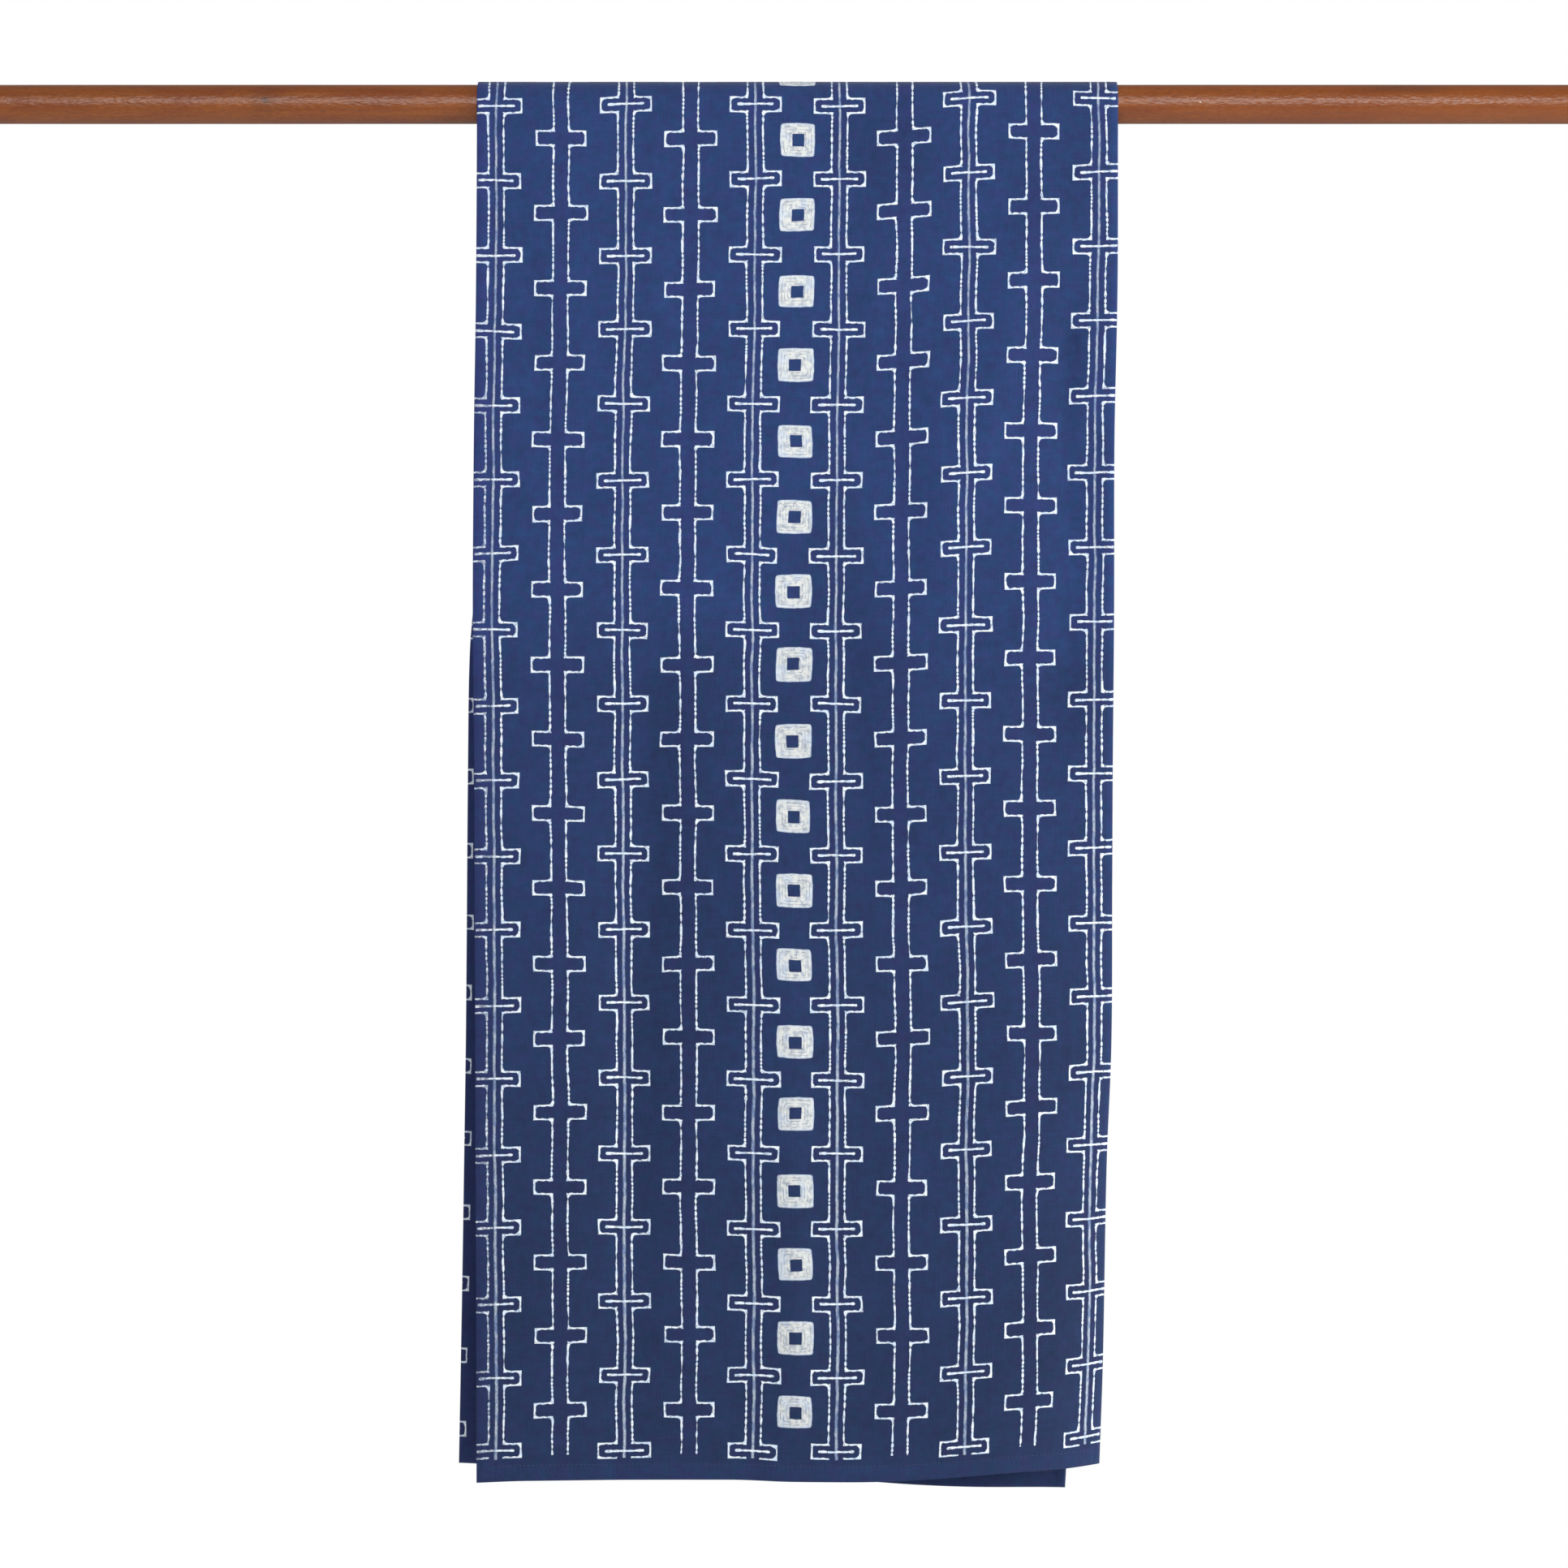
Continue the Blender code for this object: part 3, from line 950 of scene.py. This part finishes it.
def turn_hems(piece):
    """On the inner side, give each hem the cloth's right side as it goes on past the fold."""
    bm = bmesh.new()
    bm.from_mesh(piece.data)
    flat = bm.loops.layers.uv["flat"]
    tiny = 1e-5
    for face in bm.faces:
        if face.material_index != 1:
            continue
        us = [loop[flat].uv.x for loop in face.loops]
        vs = [loop[flat].uv.y for loop in face.loops]
        turned_u = max(us) <= LEFT_HEM + tiny or min(us) >= CLOTH_WIDTH - RIGHT_HEM - tiny
        turned_v = max(vs) <= END_HEM + tiny or min(vs) >= CLOTH_LENGTH - END_HEM - tiny
        if not (turned_u or turned_v):
            continue
        face.material_index = 0
        for loop in face.loops:
            u, v = loop[flat].uv
            if turned_u:
                u = -u if u < CLOTH_WIDTH / 2 else 2 * CLOTH_WIDTH - u
            if turned_v:
                v = -v if v < CLOTH_LENGTH / 2 else 2 * CLOTH_LENGTH - v
            loop[flat].uv = (u, v)
    bm.to_mesh(piece.data)
    bm.free()


def make_cloth(sheet):
    """The runner: one thin sheet, thicker along its four turned hems."""
    bm, weights = sheet_mesh(sheet)
    right = dyed_cotton("dyed_cotton")
    wrong = dyed_cotton("dyed_cotton_wrong_side", wrong_side=True)
    cloth = add_piece("runner_cloth", bm, right, wrong)
    group = cloth.vertex_groups.new(name="hem")
    for level in sorted(set(weights)):
        group.add([i for i, weight in enumerate(weights) if weight == level], level, "REPLACE")
    wall = cloth.modifiers.new("thickness", "SOLIDIFY")
    wall.thickness = HEM_THICKNESS
    wall.offset = -1.0
    wall.use_even_offset = True
    wall.vertex_group = group.name
    wall.thickness_vertex_group = CLOTH_THICKNESS / HEM_THICKNESS
    wall.material_offset = 1
    apply_modifiers(cloth)
    turn_hems(cloth)
    cloth.data.set_sharp_from_angle(angle=SHARP_ANGLE)
    return cloth


def add_stitch(bm, place, out, along):
    """One stitch: a small spindle that lies half sunk in the cloth."""
    turned = Matrix((along, out.cross(along), out)).transposed().to_4x4()
    size = Matrix.Diagonal((STITCH_LENGTH / 2, STITCH_RADIUS, STITCH_RADIUS, 1.0))
    bmesh.ops.create_icosphere(
        bm,
        subdivisions=1,
        radius=1.0,
        matrix=Matrix.Translation(place) @ turned @ size,
    )


def make_stitches(sheet):
    """Two straight rows of stitches along the sides and one across each end, seen on both sides."""
    bm = bmesh.new()
    left = LEFT_HEM - STITCH_INSET
    right = CLOTH_WIDTH - RIGHT_HEM + STITCH_INSET
    low = END_HEM - STITCH_INSET
    high = CLOTH_LENGTH - low
    long_count = floor((high - low) / STITCH_PITCH)
    short_count = floor((right - left) / STITCH_PITCH)
    runs = []
    for i in range(long_count + 1):
        v = low + (high - low) * i / long_count
        runs.append((left, v, False))
        runs.append((right, v, False))
    for i in range(1, short_count):
        u = left + (right - left) * i / short_count
        runs.append((u, low, True))
        runs.append((u, high, True))
    for u, v, across_run in runs:
        place, out, across, along = sheet.frame_at(u, v)
        run = across if across_run else along
        add_stitch(bm, place + out * STITCH_RISE, out, run)
        add_stitch(bm, place - out * (HEM_THICKNESS + STITCH_RISE), -out, run)
    for face in bm.faces:
        face.smooth = True
    return add_piece("hem_stitches", bm, thread())


def make_rod():
    """The rod: very slightly uneven wood, with chamfered sawn ends."""
    bm = bmesh.new()
    bmesh.ops.create_cone(
        bm,
        cap_ends=True,
        segments=ROD_SIDES,
        radius1=ROD_RADIUS,
        radius2=ROD_RADIUS,
        depth=ROD_LENGTH,
        matrix=Matrix.Rotation(pi / 2, 4, "Y"),
    )
    long_edges = [e for e in bm.edges if abs(e.verts[0].co.x - e.verts[1].co.x) > ROD_LENGTH / 2]
    bmesh.ops.subdivide_edges(bm, edges=long_edges, cuts=ROD_CUTS, use_grid_fill=True)
    caps = [face for face in bm.faces if len(face.verts) == ROD_SIDES]
    rims = [edge for face in caps for edge in face.edges]
    bmesh.ops.bevel(
        bm,
        geom=rims,
        affect="EDGES",
        offset=ROD_CHAMFER,
        segments=3,
        profile=0.5,
        material=-1,
    )
    for vertex in bm.verts:
        if abs(vertex.co.x) < ROD_LENGTH / 2 - 2 * ROD_CHAMFER:
            uneven = noise.noise(Vector((vertex.co.x * 9, vertex.co.y * 60, vertex.co.z * 60)))
            shrink = 1 - ROD_SHRINK - ROD_UNEVEN * uneven
            vertex.co = Vector((vertex.co.x, vertex.co.y * shrink, vertex.co.z * shrink))
    for face in bm.faces:
        face.smooth = len(face.verts) != ROD_SIDES
        if len(face.verts) == ROD_SIDES:
            face.material_index = 1
    return add_piece("rod_wood", bm, varnished_wood(), end_grain())


def add_floor():
    """A plain pale floor below the runner."""
    bm = bmesh.new()
    bmesh.ops.create_grid(bm, x_segments=1, y_segments=1, size=1.0)
    for vertex in bm.verts:
        x = vertex.co.x * FLOOR_REACH[0]
        y = vertex.co.y * FLOOR_REACH[1] + FLOOR_MIDDLE_Y
        vertex.co = Vector((x, y, FLOOR_Z))
    floor_piece = add_piece("floor", bm, pale_floor())


def add_light(name, place, aim, size, power):
    """A soft square light that shines at a point and isn't itself seen."""
    lamp = bpy.data.lights.new(name, "AREA")
    lamp.shape = "RECTANGLE"
    lamp.size, lamp.size_y = size
    lamp.energy = power
    made = bpy.data.objects.new(name, lamp)
    made.location = place
    made.rotation_euler = (Vector(aim) - Vector(place)).to_track_quat("-Z", "Y").to_euler()
    made.visible_camera = False
    bpy.context.scene.collection.objects.link(made)


def add_world():
    """White all round: bright where the camera sees it, and a softer fill for the object."""
    world = bpy.data.worlds.new("studio")
    bpy.context.scene.world = world
    world.use_nodes = True
    nodes = world.node_tree.nodes
    links = world.node_tree.links
    back = nodes["Background"]
    back.inputs["Color"].default_value = (1.0, 1.0, 1.0, 1.0)
    rays = nodes.new("ShaderNodeLightPath")
    strength = nodes.new("ShaderNodeMapRange")
    strength.inputs["To Min"].default_value = WORLD_FILL
    strength.inputs["To Max"].default_value = 1.0
    links.new(rays.outputs["Is Camera Ray"], strength.inputs["Value"])
    links.new(strength.outputs[0], back.inputs["Strength"])


def add_camera():
    """The camera, level and square on to the front panel."""
    camera = bpy.data.cameras.new("camera")
    camera.sensor_width = SENSOR_WIDTH
    camera.lens = SENSOR_WIDTH * CAMERA_DISTANCE / FRAME_WIDTH
    made = bpy.data.objects.new("camera", camera)
    made.location = (0.0, -CAMERA_DISTANCE - BEND_RADIUS, FRAME_CENTRE_Z)
    made.rotation_euler = (pi / 2, 0.0, 0.0)
    bpy.context.scene.collection.objects.link(made)
    bpy.context.scene.camera = made


def main():
    bpy.context.scene.view_settings.view_transform = "Standard"
    sheet = Sheet()
    cloth = make_cloth(sheet)
    stitches = make_stitches(sheet)
    rod = make_rod()
    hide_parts("runner")
    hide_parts("rod")
    for piece in (cloth, stitches, rod):
        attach(piece, "root")
    add_floor()
    add_world()
    for light in LIGHTS:
        add_light(*light)
    add_camera()


main()
